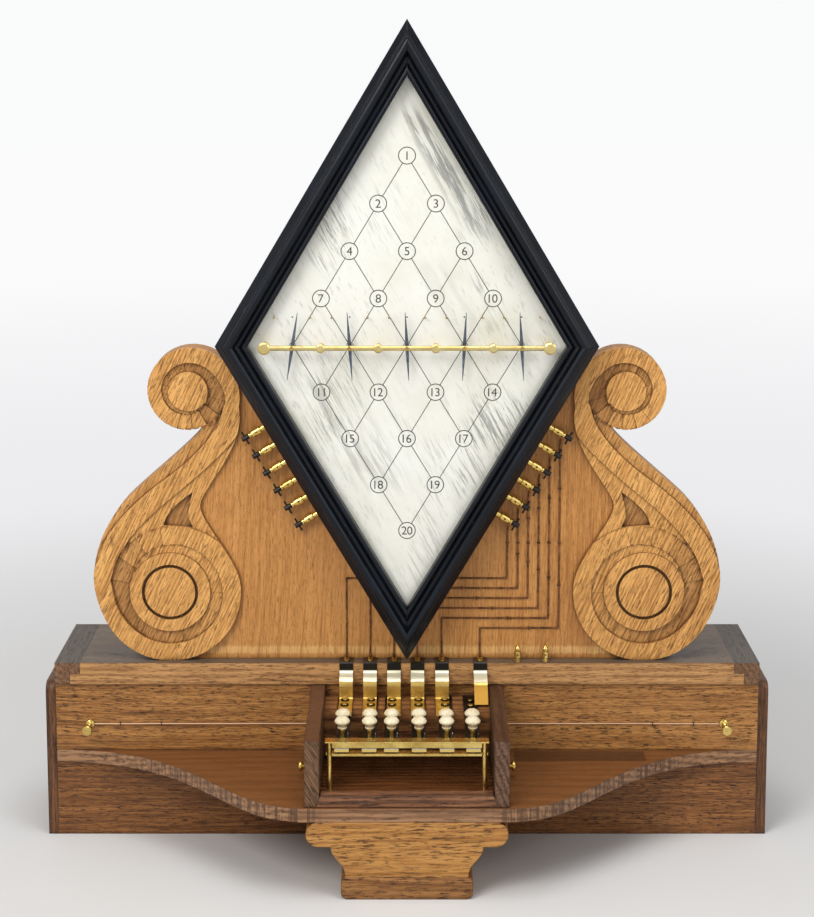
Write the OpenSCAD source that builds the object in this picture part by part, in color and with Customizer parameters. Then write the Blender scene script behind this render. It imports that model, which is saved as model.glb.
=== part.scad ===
/* [Desk box] */
// Width over the front boards
box_w = 700; // [660:10:740]
// Depth from front to back
box_d = 121; // [115:1:130]
// Height up to the lid
box_h = 157; // [152:1:165]
// Thickness of the front, back and bottom boards
board_t = 13; // [10:1:16]
// Thickness of an end plate
end_t = 10; // [8:1:14]
// Corner rounding of an end plate
end_round = 9; // [4:1:14]
// Thickness of the lid
lid_t = 22; // [18:1:26]
// How far the lid stands out at the front
lid_over = 3; // [1:0.5:5]
// Width of a lid cleat on top
cleat_w = 25; // [20:1:35]
// Width of a lid cleat below the lap
cleat_lap = 15; // [10:1:18]

/* [Shelf and foot] */
// Height of the shelf's top
shelf_z = 88; // [84:1:92]
// Thickness of the shelf
shelf_t = 13; // [10:1:16]
// How far the shelf reaches forward of the box
shelf_reach = 145; // [140:1:155]
// Width of the foot block
foot_w = 123; // [110:1:135]
// Height of the foot block
foot_h = 22; // [18:1:26]
// Depth of the foot block and the bracket
foot_d = 70; // [50:5:90]
// Width of the bracket over its lobes
bracket_w = 188; // [176:2:200]
// Height of a bracket lobe
lobe_h = 24; // [20:1:28]

/* [Key box] */
// Width over the cheeks
keybox_w = 190; // [186:1:200]
// Thickness of a cheek
cheek_t = 13.7; // [10:0.1:14]
// Height of a cheek at the back
cheek_h = 68.5; // [66:0.5:72]
// Drop of a cheek's top towards the front
cheek_drop = 5; // [0:0.5:8]
// Thickness of the key box floor
floor_t = 10; // [8:0.5:11]
// Height of the front rail
rail_h = 11.5; // [10:0.5:13]
// Thickness of the front rail
rail_t = 12; // [10:0.5:14]

/* [Keys] */
// Middle spacing of the keys
key_pitch = 24.6; // [24:0.1:25.4]
// Width of a key spring
key_w = 13.6; // [11:0.2:15]
// Thickness of a key spring
key_t = 1.4; // [1:0.1:1.6]
// Height of the key block's top above the floor
block_h = 47.5; // [46:0.5:48.5]
// Depth of the key block
block_d = 45; // [42:0.5:47]
// Fall of a key spring from its clamp to its contact
key_fall = 7.1; // [6:0.1:8]
// Thickness of a contact block
contact_t = 3.7; // [3:0.1:4.5]
// Free drop of a contact block down to the lower bar
contact_gap = 1.7; // [1.4:0.1:2.5]
// Diameter of a bar pillar
pillar_d = 5; // [4:0.5:6]
// Diameter of a button's top
button_d = 14.5; // [12:0.5:16]
// Diameter of a button's stem
stem_d = 4.4; // [3.6:0.2:5]
// Spacing of the two rows of buttons
row_gap = 20; // [18:0.5:22]
// Width of a connecting strip
strip_w = 13.3; // [10:0.1:13.6]
// Thickness of a connecting strip
strip_t = 0.9; // [0.6:0.1:1.2]

/* [Upright] */
// Thickness of the upright panel
panel_t = 20; // [16:1:22]
// How far the panel's front lies behind the box front
panel_back = 12; // [11:0.5:16]
// Height of the panel
panel_h = 276; // [250:2:290]
// Thickness of a scroll
scroll_t = 26; // [24:1:30]
// Depth of the carved steps in a scroll
carve_d = 3.5; // [2:0.5:4.5]

/* [Diamond] */
// Half width over the frame
dia_a = 185.4; // [184:0.2:187]
// Half height over the frame
dia_b = 313; // [311:0.5:315]
// Gap between the lid and the diamond's lower corner
dia_gap = 7.5; // [6:0.5:10]
// Face width of a frame rail
frame_w = 27.2; // [25:0.2:29]
// Depth of a frame rail
frame_t = 18; // [16:0.5:20]
// Thickness of the dial plate
dial_t = 2; // [1:0.5:3]
// Thickness of the dial board
dial_board_t = 6; // [5:0.5:8]
// Wall of the case behind the dial
case_wall = 8; // [6:0.5:10]
// Depth of the case behind the dial board
case_d = 42; // [42:1:50]
// How far the case reaches below the needle row
case_low = 199.5; // [194:0.5:210]
// Thickness of the case back
case_back_t = 6; // [4:0.5:7]

/* [Needles] */
// Spacing of the needles
needle_pitch = 55.3; // [54:0.1:56]
// Length of a needle
needle_len = 66.5; // [62:0.5:68]
// Width of a needle in the middle
needle_w = 3.6; // [3:0.1:4.5]
// Diameter of a needle's arbor
arbor_d = 2.4; // [2:0.1:2.8]
// Diameter of an arbor's tips
tip_d = 1.6; // [1.2:0.1:1.8]
// Diameter of the needle bar
bar_d = 5; // [4.6:0.1:5.6]
// Height of the needle bar's front above the dial
bar_front = 18.5; // [17:0.5:20]
// Gap from the sight opening's side corner to the middle of an end post
bar_gap = 16.8; // [15:0.1:20]
// Angle of a stop pin from upright
pin_angle = 31.8; // [31.8:0.1:34]
// Width of a half coil
coil_w = 16; // [14:0.5:18]
// Height of a half coil
coil_h = 68; // [64:1:74]
// Depth of a half coil
coil_d = 24; // [20:1:26]

/* [Fittings] */
// Diameter of a frame terminal's block
term_d = 7.4; // [6:0.2:8]
// Spacing of the frame terminals along the edge
term_pitch = 20.2; // [18:0.2:21]
// Diameter of a panel wire
wire_d = 1.6; // [1.2:0.1:2]
// Spacing of the level runs of the panel wires
wire_pitch = 10.2; // [9:0.1:10.8]
// Diameter of the wire hole in a lid post
post_bore = 2.2; // [1.6:0.1:2.4]
// Height of a lid post
post_h = 17; // [15:0.5:20]

/* [Hidden] */
$fn = 40;
fit = 0.05;

// Depths are given forward of the box front; depth_y turns one into a model coordinate
face_y = (shelf_reach - box_d) / 2;
function depth_y(p) = face_y - p;

lid_z = box_h + lid_t;
dia_z = lid_z + dia_gap + dia_b;
case_z = dia_z - case_low;
half_w = box_w / 2;
shelf_under = shelf_z - shelf_t;
cheek_in = keybox_w / 2 - cheek_t;
floor_z = shelf_z + floor_t;
block_z = floor_z + block_h;
key_top = block_z + key_t;

// Keys stand a little unevenly along the box
key_count = 6;
key_shift = [0.5, 1.6, -2.3, -1, 0.4, 0.5];
function key_x(i) = (i - (key_count - 1) / 2) * key_pitch + key_shift[i];
strip_shift = [0.8, -1.3, 1.7, -0.9, -2.6, 10.8];
function strip_x(i) = key_x(i) + strip_shift[i];

// Contact block and the two bars, from the back to the front
contact_back = 104;
contact_front = 124.5;
contact_top = key_top - key_fall - key_t;
contact_low = contact_top - contact_t;
bar_depth = 8;
bar_mid = 120;
bar_under = contact_top + 0.12;
upper_h = 5.2;
cap_t = 1.1;
cap_half = 76.5;
lower_top = contact_low - contact_gap;
lower_t = 2.4;
pillar_x = 72.6;
pillar_top = bar_under + upper_h;
row_front = 102;
row_rear = row_front - row_gap;
hinge_p = block_d + 0.3;

// Diamond: distances are measured square to its edges from its middle
edge = atan2(dia_b, dia_a);
rail_out = dia_a * sin(edge);
rail_in = rail_out - frame_w;
bar_half = rail_in / sin(edge) - bar_gap;
dial_p = 10;
board_p = dial_p - dial_t;
case_p = board_p - dial_board_t;
case_out = rail_out - 9;
case_in = case_out - case_wall;
case_rear = case_p - case_d;
bar_p = dial_p + bar_front - bar_d / 2;
needle_count = 5;
function needle_x(i) = (i - (needle_count - 1) / 2) * needle_pitch;
tilt = [9, -4, -3, 3, -3.5];
blade_p = dial_p + 6.4;
blade_t = 0.8;
coil_bar_t = 5;
coil_bar_h = 20;
coil_bar_half = case_in / sin(edge) - coil_bar_h / 2 / tan(edge) - 0.3;
coil_bar_p = case_rear + case_back_t + coil_bar_t;
coil_mid = coil_bar_p + coil_d / 2;
pin_r = 0.8;
pin_reach = needle_len / 2 - 0.3;
screw_d = 3;
panel_p = -panel_back;
scroll_p = panel_p - panel_t + scroll_t;

// Curves
function bez(a, b, c, d, n) =
    [for (i = [0:n - 1]) let (t = i / n, s = 1 - t)
        s * s * s * a + 3 * s * s * t * b + 3 * s * t * t * c + t * t * t * d];
function arc(c, r, from, to, n) =
    [for (i = [0:n - 1]) let (q = from + (to - from) * i / n)
        c + r * [cos(q), sin(q)]];

oak = "#a8743c";
dark_oak = "#6b4526";
black = "#1c2026";
brass = "#c9a23a";
ivory = "#efe6cf";
steel = "#3a4658";

// Building helpers
// A board from x0 to x1, from depth p0 forward to p1, from z0 to z1
module board(x0, x1, p0, p1, z0, z1)
    translate([x0, depth_y(p1), z0])
        cube([x1 - x0, p1 - p0, z1 - z0]);

// A shape drawn as width and height, standing from depth p0 forward to p1
module upright(p0, p1)
    translate([0, depth_y(p0), 0])
        rotate([90, 0, 0])
            linear_extrude(p1 - p0)
                children();

// A shape drawn as depth and height, running across from x0 to x1
module across(x0, x1)
    translate([x0, face_y, 0])
        rotate([90, 0, -90])
            mirror([0, 0, 1])
                linear_extrude(x1 - x0)
                    children();

// A peg from depth p0 forward to p1
module peg(x, z, p0, p1, d)
    translate([x, depth_y(p0), z])
        rotate([90, 0, 0])
            cylinder(d = d, h = p1 - p0);

// A lozenge whose edges lie at the distance n from its middle
module lozenge(n) {
    a = n / sin(edge);
    b = n / cos(edge);
    translate([0, dia_z])
        polygon([[a, 0], [0, b], [-a, 0], [0, -b]]);
}

module mirror_if(flip) {
    if (flip)
        mirror([1, 0, 0]) children();
    else
        children();
}

// Desk box
module end_shape() {
    h = box_h + 0.5;
    difference() {
        translate([-box_d, 0]) square([box_d, h]);
        for (k = [0, 1])
            translate([-box_d * k, h])
                mirror([1 - k, 0])
                    difference() {
                        translate([-1, -end_round]) square([end_round + 1, end_round + 1]);
                        translate([end_round, -end_round]) circle(end_round);
                    }
    }
}

module end_plate(flip)
    mirror_if(flip)
        across(half_w, half_w + end_t)
            end_shape();

module front_board_upper()
    board(-half_w, half_w, -board_t, 0, shelf_z, box_h);

module front_board_lower()
    board(-half_w, half_w, -board_t, 0, 0, shelf_under);

module back_board()
    board(-half_w, half_w, -box_d, board_t - box_d, 0, box_h);

module bottom_board()
    board(-half_w, half_w, board_t - box_d, -board_t, 0, board_t);

module lid_board() {
    w1 = half_w - cleat_lap;
    w2 = half_w - cleat_w;
    mid = box_h + lid_t / 2;
    board(-w1, w1, -box_d, lid_over, box_h, mid);
    board(-w2, w2, -box_d, lid_over, mid, lid_z);
}

module lid_cleats() {
    mid = box_h + lid_t / 2;
    for (flip = [false, true])
        mirror_if(flip) {
            board(half_w - cleat_lap, half_w, -box_d, lid_over, box_h, mid);
            board(half_w - cleat_w, half_w, -box_d, lid_over, mid, lid_z);
        }
}

// Shelf with its ogee front edge
shelf_flat = keybox_w / 2 + 10;
shelf_swell = bez([half_w - 5, 0], [half_w * 0.586, 0],
    [shelf_flat + 67, shelf_reach - 2.6], [shelf_flat, shelf_reach - 2.6], 18);
module shelf() {
    side = concat(shelf_swell, [[shelf_flat - 6, shelf_reach]]);
    translate([0, face_y, shelf_under])
        mirror([0, 1, 0])
            linear_extrude(shelf_t)
                polygon(concat([[half_w, -board_t], [half_w, 0]], side,
                    [for (i = [len(side) - 1:-1:0]) [-side[i].x, side[i].y]],
                    [[-half_w, 0], [-half_w, -board_t]]));
}

// Bracket under the shelf
module bracket() {
    lobe_z = shelf_under - lobe_h;
    step_x = bracket_w / 2 - 20;
    neck_x = foot_w / 2 - 4.4;
    r = lobe_h / 2;
    side = concat(arc([bracket_w / 2 - r, shelf_under - r], r, 90, -90, 20),
        [[bracket_w / 2 - r, lobe_z]],
        bez([step_x - 3, lobe_z], [step_x - 4, lobe_z - 14], [neck_x, lobe_z - 14],
            [neck_x, foot_h], 8),
        [[neck_x, foot_h]]);
    upright(shelf_reach - foot_d, shelf_reach)
        polygon(concat(side, [for (v = turned(side)) [-v.x, v.y]]));
}

module foot_block() {
    r = foot_h * 0.32;
    upright(shelf_reach - foot_d, shelf_reach) {
        translate([-foot_w / 2 + r, 0]) square([foot_w - 2 * r, foot_h]);
        translate([-foot_w / 2, r]) square([foot_w, foot_h - 2 * r]);
        for (x = [-1, 1])
            for (z = [r, foot_h - r])
                translate([x * (foot_w / 2 - r), z]) circle(r);
    }
}

// Key box
rail_half = cheek_in - 1;
rail_foot = cheek_in + 3;
module rail_shape()
    polygon([[-rail_foot, shelf_z], [rail_foot, shelf_z], [rail_half, shelf_z + rail_h],
        [-rail_half, shelf_z + rail_h]]);

module cheek(flip) {
    front = shelf_reach - 3;
    mirror_if(flip)
        difference() {
            across(cheek_in, cheek_in + cheek_t)
                polygon([[0, shelf_z], [front, shelf_z], [front, shelf_z + cheek_h - cheek_drop],
                    [0, shelf_z + cheek_h]]);
            upright(front - rail_t, front + 1)
                rail_shape();
        }
}

module key_floor()
    board(-cheek_in, cheek_in, 0, shelf_reach - 3 - rail_t, shelf_z, floor_z);

module front_rail()
    upright(shelf_reach - 3 - rail_t, shelf_reach - 3)
        rail_shape();

key_screws = [21, 35];
module key_block()
    difference() {
        board(-cheek_in, cheek_in, 0, block_d, floor_z, block_z);
        for (i = [0:key_count - 1])
            for (p = key_screws)
                translate([key_x(i), depth_y(p), block_z - 10])
                    cylinder(d = screw_d, h = 11);
    }

// Upright panel and scrolls, drawn as distance from the middle and height
upper_c = [214.7, lid_z + 271.9];
lower_c = [235.2, lid_z + 69.7];
lower_r = 70.4;
function ring_r(q) = 38 + 12.7 * pow(max(q - 240, 0) / 300, 2.4);
ring_pts = [for (q = [247:10:557]) upper_c + ring_r(q) * [cos(q), sin(q)]];
waist = [204.4, lid_z + 157];
shoulder = [271.7, lid_z + 168.9];
flank = [310.7, lid_z + 83];
neck_top = upper_c + ring_r(247) * [cos(247), sin(247)];
hip = lower_c + lower_r * [cos(320), sin(320)];
inner_end = lower_c + lower_r * [cos(176), sin(176)];
scroll_line = concat(ring_pts,
    bez(upper_c + ring_r(557) * [cos(557), sin(557)], [157, lid_z + 216], waist + [0, 16], waist, 10),
    bez(waist, waist - [0, 18], inner_end + [0, 26], inner_end, 10),
    arc(lower_c, lower_r, 176, 320, 20),
    bez(hip, hip + [11.6, 13.8], flank - [0, 19], flank, 6),
    bez(flank, flank + [0, 34], shoulder + [21, -20], shoulder, 10),
    bez(shoulder, shoulder + [-24.7, 23.1], neck_top + [9, -14.5], neck_top, 10));

module scroll_shape()
    intersection() {
        polygon(scroll_line);
        translate([100, lid_z]) square([260, 400]);
    }

// Carving: each pocket is drawn on the face and sunk by its own depth
module pocket(d)
    upright(scroll_p - d, scroll_p + 1)
        children();

// The band's two edges down the neck
band_inner = concat(
    bez([164, lid_z + 233.3], [172, lid_z + 215], [222, lid_z + 174], [242.1, lid_z + 157.5], 8),
    bez([242.1, lid_z + 157.5], [262, lid_z + 141], [293.1, lid_z + 108],
        [293.1, lid_z + 81.3], 8));
band_outer = concat(
    bez([179.9, lid_z + 255.7], [184, lid_z + 229], [218, lid_z + 198], [242.1, lid_z + 181.5], 8),
    bez([242.1, lid_z + 181.5], [275, lid_z + 157], [305, lid_z + 126], [309.5, lid_z + 92.3], 8),
    [[309.5, lid_z + 92.3]]);
function turned(list) = [for (i = [len(list) - 1:-1:0]) list[i]];

// Upper volute: step_r is the inner edge of its raised band, from 195 to 565 degrees
eye_upper = 19.5;
function step_r(q) = 20 + 10.2 * pow(max(q - 195, 0) / 305, 0.9)
    + 8.2 * pow(max(q - 500, 0) / 65, 1.4);
upper_from = 215;
upper_low = 560;
upper_to = 670;
function upper_in(q) = q < upper_low ? eye_upper : step_r(q - 360);
function upper_out(q) = q < upper_low ? step_r(q) : ring_r(q - 360);
function upper_depth(q) = q < upper_low
    ? carve_d * (0.5 + 1.1 * pow((q - upper_from) / (upper_low - upper_from), 1.5))
    : carve_d * 1.6 * pow(1 - (q - upper_low) / (upper_to - upper_low), 1.2) + 0.05;

// Lower volute: its band runs from the bottom round the inner side and under itself
eye_lower = 25;
ring_lower = 40;
function band_r(q) = ring_lower + 0.4 + 13.2 * (1 - pow(min(q / 338, 1), 4))
    + 3.2 * max(1 - q / 40, 0);
function crown_r(q) = 60.3 + 11.2 * pow(max(q - 23, 0) / 118, 0.9);
lower_from = -130;
lower_low = 0;
lower_to = 345;
function lower_in(q) = q < lower_low ? band_r(360 + q) : ring_lower;
function lower_out(q) = q < lower_low ? crown_r(-q) : band_r(q);
function lower_depth(q) = q < lower_low
    ? carve_d * 1.6 * pow((q - lower_from) / (lower_low - lower_from), 1.2) + 0.05
    : carve_d * (0.4 + 1.2 * pow(1 - q / lower_to, 1.5));

// A spiral trough about c, cut in short flat steps; each row holds the turn, the inner
// edge, the outer edge and the depth, and a step spans the given number of rows
trough_span = 2;
module trough(c, rows)
    for (k = [0:trough_span:len(rows) - 1 - trough_span])
        let (part = [for (i = [k:k + trough_span]) rows[i]])
            pocket((part[0][3] + part[trough_span][3]) / 2)
                polygon(concat([for (w = part) c + w[1] * [cos(w[0]), sin(w[0])]],
                    turned([for (w = part) c + w[2] * [cos(w[0]), sin(w[0])]])));

module scroll(flip)
    mirror_if(flip)
        difference() {
            upright(panel_p - panel_t, scroll_p)
                scroll_shape();
            trough(upper_c, [for (q = [upper_from:11.375:upper_to])
                [q, upper_in(q), upper_out(q), upper_depth(q)]]);
            mirror_trough();
            pocket(carve_d)
                difference() {
                    translate(lower_c) circle(eye_lower + 3);
                    translate(lower_c) circle(eye_lower);
                }
            pocket(carve_d)
                polygon(concat(arc(upper_c, 38, 205, 250, 5),
                    [[225, lid_z + 226], [340, lid_z + 151], [340, lid_z + 92.3]],
                    turned(band_outer)));
            pocket(carve_d * 0.6)
                polygon(concat([[150, lid_z + 233.3], [150, lid_z + 112]],
                    [for (q = [150:-12.7:23]) lower_c + crown_r(q) * [cos(q), sin(q)]],
                    turned(band_inner)));
            pocket(carve_d * 1.6)
                polygon([[211.5, lid_z + 171], [223, lid_z + 162.5], [232.8, lid_z + 152.9],
                    [238.1, lid_z + 145.4], [240.7, lid_z + 137.4], [211.9, lid_z + 135.2],
                    [216.2, lid_z + 146], [215.7, lid_z + 154]]);
        }

// The lower trough runs the other way round
module mirror_trough()
    trough(lower_c, [for (q = [lower_to:-11.875:lower_from])
        [-q, lower_in(q), lower_out(q), lower_depth(q)]]);

module panel_shape() {
    top = lid_z + panel_h;
    polygon([[-212, lid_z], [212, lid_z], [212, lid_z + 151], [185, lid_z + 221], [185, top],
        [-185, top], [-185, lid_z + 221], [-212, lid_z + 151]]);
}

module case_shape(n, low)
    intersection() {
        lozenge(n);
        translate([-300, low]) square([600, 800]);
    }

module upright_panel()
    upright(panel_p - panel_t, panel_p)
        difference() {
            panel_shape();
            case_shape(case_out + 2 * fit, case_z - 2 * fit);
            scroll_shape();
            mirror([1, 0]) scroll_shape();
        }

// Frame rails, mitred at the corners
module rail_profile() {
    w = frame_w;
    t = frame_t;
    difference() {
        union() {
            translate([rail_in, dial_p]) square([w - 8, t * 0.62]);
            polygon([[rail_out - 8, dial_p], [rail_out, dial_p], [rail_out, dial_p + t * 0.36],
                [rail_out - 6, dial_p + t * 0.72], [rail_out - 8, dial_p + t * 0.72]]);
            translate([rail_out - 11.5, dial_p + t - 4.5]) circle(4.5);
            translate([rail_out - 16, dial_p]) square([9, t - 4.5]);
            translate([rail_in + 2.6, dial_p + t * 0.62]) circle(2.6);
        }
        translate([rail_in + 8.2, dial_p + t * 0.62 + 1]) circle(3);
    }
}

module frame_rail(sx, sz)
    intersection() {
        translate([0, face_y, dia_z])
            mirror([sx < 0 ? 1 : 0, 0, 0])
                mirror([0, 0, sz < 0 ? 1 : 0])
                    rotate([0, edge - 90, 0])
                        translate([0, 0, -300])
                            linear_extrude(700)
                                mirror([0, 1])
                                    rail_profile();
        translate([sx < 0 ? -300 : 0, -300, sz < 0 ? dia_z - 400 : dia_z])
            cube([300, 500, 400]);
    }

// Case behind the dial
module case_quarter(sx, sz)
    upright(case_rear, case_p)
        intersection() {
            difference() {
                lozenge(case_out);
                lozenge(case_in);
            }
            translate([sx < 0 ? -300 : 0, sz < 0 ? case_z + case_wall + 2 * fit : dia_z])
                square([300, sz < 0 ? dia_z - case_z - case_wall - 2 * fit : 400]);
        }

module case() {
    for (sx = [-1, 1])
        for (sz = [-1, 1])
            translate([sx * fit, 0, sz * fit])
                case_quarter(sx, sz);
    upright(case_rear, case_p)
        intersection() {
            lozenge(case_out);
            translate([-300, case_z]) square([600, case_wall]);
        }
    upright(case_rear, case_rear + case_back_t)
        case_shape(case_in - 0.1, case_z + case_wall + 0.1);
}

module dial_board()
    difference() {
        upright(case_p, board_p) lozenge(case_out);
        for (i = [0:needle_count - 1])
            peg(needle_x(i), dia_z, case_p - 1, board_p + 1, arbor_d + 2);
    }

module dial_plate()
    difference() {
        upright(board_p, dial_p) lozenge(case_out);
        for (i = [0:needle_count - 1])
            peg(needle_x(i), dia_z, board_p - 1, dial_p + 1, arbor_d + 2);
    }

// Bar that carries the front pivots
stud_count = 4;
module needle_bar()
    difference() {
        union() {
            translate([-bar_half, depth_y(bar_p), dia_z])
                rotate([0, 90, 0])
                    cylinder(d = bar_d, h = 2 * bar_half);
            for (i = [0:stud_count - 1])
                translate([(i - (stud_count - 1) / 2) * needle_pitch, depth_y(dial_p), dia_z])
                    rotate([90, 0, 0]) {
                        cylinder(d = 5, h = bar_front);
                        translate([0, 0, bar_front - 1]) cylinder(d = 8.7, h = 1.6);
                        translate([0, 0, bar_front + 0.6]) cylinder(d1 = 8.7, d2 = 6, h = 0.9);
                    }
            for (x = [-bar_half, bar_half])
                translate([x, depth_y(dial_p), dia_z])
                    rotate([90, 0, 0]) {
                        cylinder(d = 8, h = bar_front);
                        translate([0, 0, bar_front - 1]) cylinder(d = 12, h = 2);
                        translate([0, 0, bar_front + 1]) cylinder(d1 = 12, d2 = 9, h = 1);
                    }
        }
        for (i = [0:needle_count - 1])
            peg(needle_x(i), dia_z, bar_p - bar_d, bar_p + bar_d, screw_d);
    }

// Pivot screws in the bar, and the stop pins on the dial
module dial_pins() {
    head = bar_p + bar_d / 2;
    for (i = [0:needle_count - 1]) {
        difference() {
            union() {
                peg(needle_x(i), dia_z, bar_p - bar_d / 2 - 0.4, head + 0.2, screw_d);
                peg(needle_x(i), dia_z, head, head + 1, screw_d + 1.2);
            }
            peg(needle_x(i), dia_z, bar_p - bar_d, bar_p + 0.5, tip_d + 2 * fit);
            board(needle_x(i) - 3, needle_x(i) + 3, head + 0.5, head + 2, dia_z - 0.3, dia_z + 0.3);
        }
        for (s = [-1, 1])
            peg(needle_x(i) + s * pin_reach * sin(pin_angle), dia_z + pin_reach * cos(pin_angle),
                dial_p, blade_p + 2.5, 2 * pin_r);
    }
}

// A needle: tapered blade, arbor and the magnet inside the coil
module needle(i) {
    half = needle_len / 2;
    magnet = 50;
    translate([needle_x(i), 0, dia_z])
        rotate([0, tilt[i], 0])
            translate([0, 0, -dia_z]) {
                upright(blade_p, blade_p + blade_t)
                    translate([0, dia_z])
                        polygon([[0.25, half], [needle_w / 2, 1.5], [needle_w / 2, -1.5],
                            [0.25, -half], [-0.25, -half], [-needle_w / 2, -1.5],
                            [-needle_w / 2, 1.5], [-0.25, half]]);
                peg(0, dia_z, blade_p - 0.8, blade_p + blade_t + 0.8, 4.4);
                peg(0, dia_z, coil_bar_p + 0.4, bar_p - bar_d / 2 - 1, arbor_d);
                peg(0, dia_z, coil_bar_p - 3, bar_p, tip_d);
                upright(coil_mid - 1, coil_mid + 1)
                    translate([0, dia_z])
                        polygon([[0, magnet / 2], [4, 0], [0, -magnet / 2], [-4, 0]]);
            }
}

// Coils and the bar that carries them
module coils() {
    wind = 8;
    for (i = [0:needle_count - 1])
        for (s = [-1, 1])
            translate([s * (4 + coil_w / 2) + needle_x(i), 0, 0])
                across(-coil_w / 2, coil_w / 2)
                    translate([coil_mid, dia_z])
                        difference() {
                            coil_outline(coil_d, coil_h);
                            coil_outline(coil_d - 2 * wind, coil_h - 2 * 6);
                        }
}

module coil_outline(d, h) {
    r = d / 2;
    for (z = [r - h / 2, h / 2 - r])
        translate([0, z]) circle(r);
    translate([-r, r - h / 2]) square([2 * r, h - 2 * r]);
}

module coil_bar()
    difference() {
        board(-coil_bar_half, coil_bar_half, coil_bar_p - coil_bar_t, coil_bar_p,
            dia_z - coil_bar_h / 2, dia_z + coil_bar_h / 2);
        for (i = [0:needle_count - 1])
            peg(needle_x(i), dia_z, coil_bar_p - 3.5, coil_bar_p + 1, tip_d + 2 * fit);
    }

// Keys: the clamped end stays on the block, the free part bends
module key_roots()
    for (i = [0:key_count - 1])
        translate([key_x(i), 0, 0])
            difference() {
                board(-key_w / 2, key_w / 2, 6, block_d, block_z, key_top);
                for (p = key_screws)
                    translate([0, depth_y(p), block_z - 1])
                        cylinder(d = screw_d, h = key_t + 2);
            }

module hairpin(p)
    translate([5.4, depth_y(p), key_z(p) - 0.2]) {
        for (s = [-1, 1])
            translate([0, s * 1.2, 0]) cylinder(d = 0.7, h = 4);
        translate([0, 0, 4])
            rotate([90, 0, 90])
                rotate_extrude(angle = 180)
                    translate([1.2, 0]) circle(d = 0.7);
    }

function key_z(p) = key_top - key_fall * max(p - hinge_p, 0) / (contact_back - hinge_p);

module key(i) {
    z1 = contact_top + key_t;
    translate([key_x(i), 0, 0]) {
        difference() {
            union() {
                across(-key_w / 2, key_w / 2)
                    polygon([[hinge_p, key_top], [contact_back, z1],
                        [contact_back + 10, z1], [contact_back + 10, contact_top],
                        [contact_back, contact_top], [hinge_p, block_z]]);
                for (p = [row_front, row_rear])
                    hairpin(p);
            }
            for (p = [row_front, row_rear])
                translate([0, depth_y(p), contact_low])
                    cylinder(d = stem_d + 2 * fit, h = 20);
        }
        board(-key_w / 2, key_w / 2, contact_back + 1.5, contact_front, contact_low,
            contact_top - 0.02);
    }
}

// Bars at the front of the keys
module contact_bars() {
    b0 = bar_mid - bar_depth / 2;
    b1 = bar_mid + bar_depth / 2;
    half = pillar_x - pillar_d / 2 - 0.2;
    board(-half, half, b0, b1, bar_under, pillar_top);
    board(-cap_half, cap_half, b0 - 1.5, b1 + 1.5, pillar_top, pillar_top + cap_t);
    board(-half, half, b0, b1, lower_top - lower_t, lower_top);
    board(-pillar_x - 3, pillar_x + 3, bar_mid - 1.2, bar_mid + 1.2, lower_top - lower_t, lower_top);
    for (s = [-1, 1])
        difference() {
            translate([s * pillar_x, depth_y(bar_mid), floor_z])
                cylinder(d = pillar_d, h = pillar_top - floor_z - 0.02);
            board(s * pillar_x - 4, s * pillar_x + 4, bar_mid - 1.25, bar_mid + 1.25,
                lower_top - lower_t - 0.05, lower_top + 0.05);
        }
}

// Buttons: an ivory top on a brass stem
cap_gap = 9;
cap_low = block_z + cap_gap;
module button(i, p) {
    r = button_d / 2;
    translate([key_x(i), depth_y(p), 0]) {
        difference() {
            rotate_extrude()
                polygon(concat([[0, cap_low - 4.5], [4.4, cap_low - 4.5], [4.4, cap_low - 3],
                    [2.9, cap_low - 2.4], [3.1, cap_low - 1], [r - 1.2, cap_low]],
                    arc([r - 2, cap_low + 2], 2, -60, 40, 4),
                    bez([r - 0.5, cap_low + 3.3], [r - 2, cap_low + 5.6], [3.6, cap_low + 6.4],
                        [0, cap_low + 6.5], 6), [[0, cap_low + 6.5]]));
            translate([0, 0, cap_low - 5])
                cylinder(d = stem_d + 0.1, h = 6);
        }
        translate([0, 0, key_z(p) - key_t - 3.4])
            cylinder(d = stem_d, h = cap_low + 0.9 - key_z(p) + key_t + 3.4);
        translate([0, 0, cap_low - 6.4])
            cylinder(d = 7.4, h = 1.6);
        translate([0, 0, key_z(p) - key_t - 3.6])
            cylinder(d = 6.6, h = 1.6);
    }
}

// Connecting strips from the lid down to the keys, drawn as depth and height
function thicken(path, t) =
    let (n = len(path))
    let (dir = [for (i = [0:n - 1]) let (v = path[min(i + 1, n - 1)] - path[max(i - 1, 0)])
        v / norm(v)])
    concat([for (i = [0:n - 1]) path[i] + t / 2 * [-dir[i].y, dir[i].x]],
        [for (i = [n - 1:-1:0]) path[i] - t / 2 * [-dir[i].y, dir[i].x]]);

edge_p = lid_over + 0.2 + strip_t / 2;
bend_z = lid_z - 12.6;
strip_upper = concat([[0.3 - panel_back, lid_z + strip_t / 2]],
    [[edge_p - 0.5, lid_z + strip_t / 2], [edge_p, lid_z - 0.05], [edge_p, lid_z - 3]],
    bez([edge_p, lid_z - 6.5], [edge_p, lid_z - 10], [edge_p + 4, bend_z + 2],
        [edge_p + 8, bend_z + 0.6], 5));
drop_p = 16;
strip_path = concat(strip_upper,
    bez([edge_p + 8, bend_z + 0.6], [edge_p + 12.4, bend_z - 2], [drop_p, bend_z - 5],
        [drop_p, key_top + 6], 6),
    bez([drop_p, key_top + 6], [drop_p, key_top + 1.2], [drop_p + 0.1, key_top + strip_t / 2],
        [drop_p + 1.6, key_top + strip_t / 2], 5),
    [[drop_p + 1.6, key_top + strip_t / 2], [64, key_top + strip_t / 2]]);
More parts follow.
